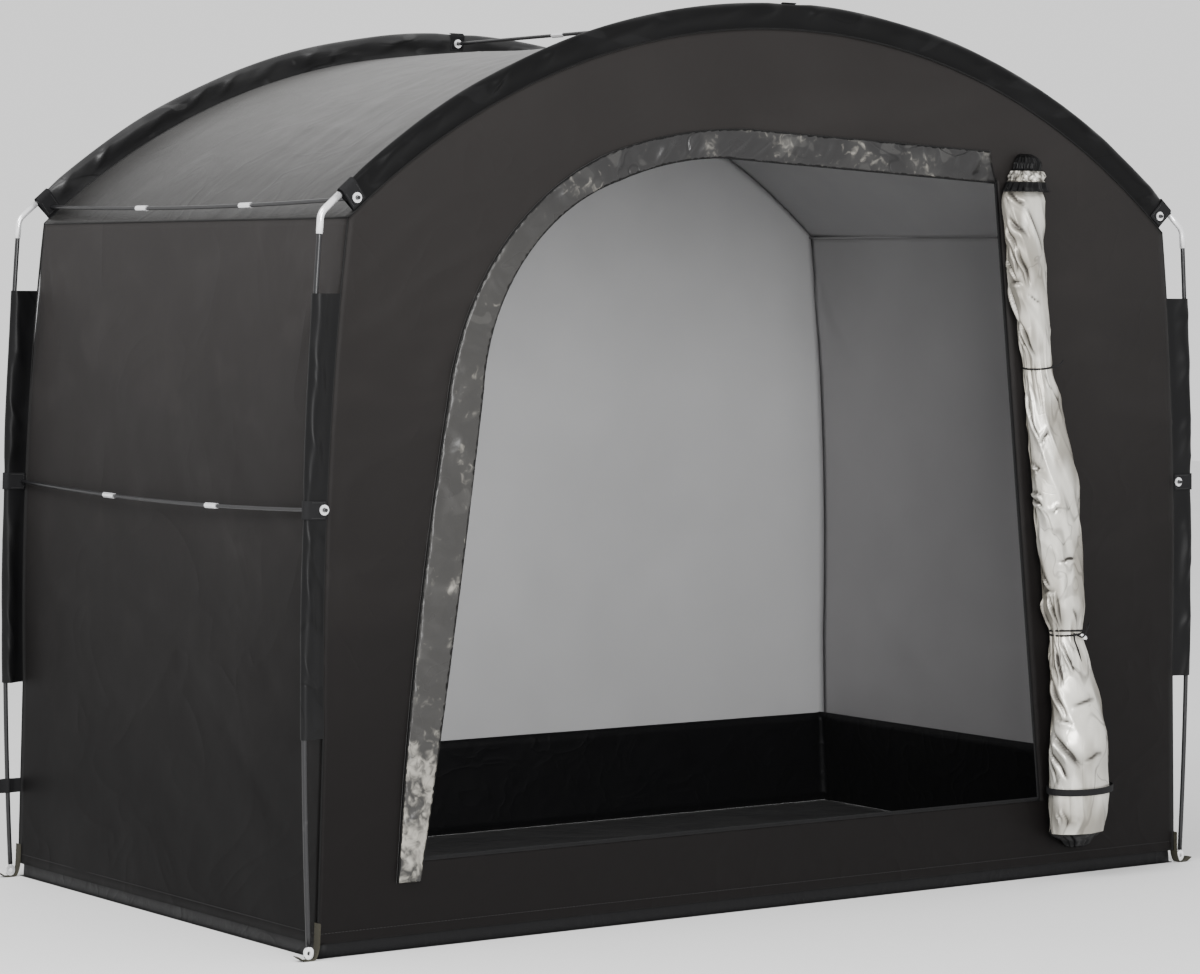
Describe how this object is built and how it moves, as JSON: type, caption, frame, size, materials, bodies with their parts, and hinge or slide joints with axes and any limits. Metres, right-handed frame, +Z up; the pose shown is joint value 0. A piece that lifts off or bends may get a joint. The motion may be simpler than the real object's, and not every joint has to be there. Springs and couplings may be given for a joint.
{
  "type": "bike shelter",
  "caption": "Cloth bike shelter on two arched pole hoops, with a hollow interior, a ground sheet and a D-shaped doorway whose door panel is rolled up at the right.",
  "frame": {"origin": "on the ground, at the middle of the overall width and depth", "axes": "+X to the right of someone facing the doorway, +Y into the shelter, +Z up"},
  "size_m": [2.1242, 1.2073, 1.6598],
  "materials": {
    "webbing": "woven webbing",
    "pole": "black glass-fibre rod",
    "sleeve_cloth": "coated cloth, glossy",
    "steel": "bright zinc-plated",
    "cover": "coated cloth, matt",
    "lining": "silver coated cloth, crinkled",
    "zip": "coil zip and tape",
    "groundsheet": "coated cloth, smooth",
    "roof_cloth": "coated cloth, light sheen"
  },
  "bodies": {
    "root": {"apex_tabs": "webbing", "back_arch_pole": "pole", "back_arch_sleeve": "sleeve_cloth", "back_left_elbow": "steel", "back_left_leg": "pole", "back_left_leg_sleeve": "sleeve_cloth", "back_right_elbow": "steel", "back_right_leg": "pole", "back_right_leg_sleeve": "sleeve_cloth", "back_wall": "cover", "cuff_straps": "webbing", "door_hem_band": "webbing", "door_roll": "lining", "door_roll_cap": "sleeve_cloth", "door_roll_tail": "sleeve_cloth", "door_storm_flap": "sleeve_cloth", "door_ties": "webbing", "door_zip": "zip", "foot_lugs": "steel", "foot_straps": "webbing", "front_arch_pole": "pole", "front_arch_sleeve": "sleeve_cloth", "front_left_elbow": "steel", "front_left_leg": "pole", "front_left_leg_sleeve": "sleeve_cloth", "front_right_elbow": "steel", "front_right_leg": "pole", "front_right_leg_sleeve": "sleeve_cloth", "front_sill": "cover", "front_wall_left": "cover", "front_wall_right": "cover", "front_wall_top": "cover", "ground_sheet": "groundsheet", "ground_sheet_lips": "groundsheet", "left_mid_rod": "pole", "left_upper_rod": "pole", "left_wall": "cover", "mid_tabs": "webbing", "ridge_rod": "pole", "right_mid_rod": "pole", "right_upper_rod": "pole", "right_wall": "cover", "rod_ferrules": "steel", "rod_washers": "steel", "roof": "roof_cloth", "shoulder_tabs": "webbing"}
  },
  "joints": []
}
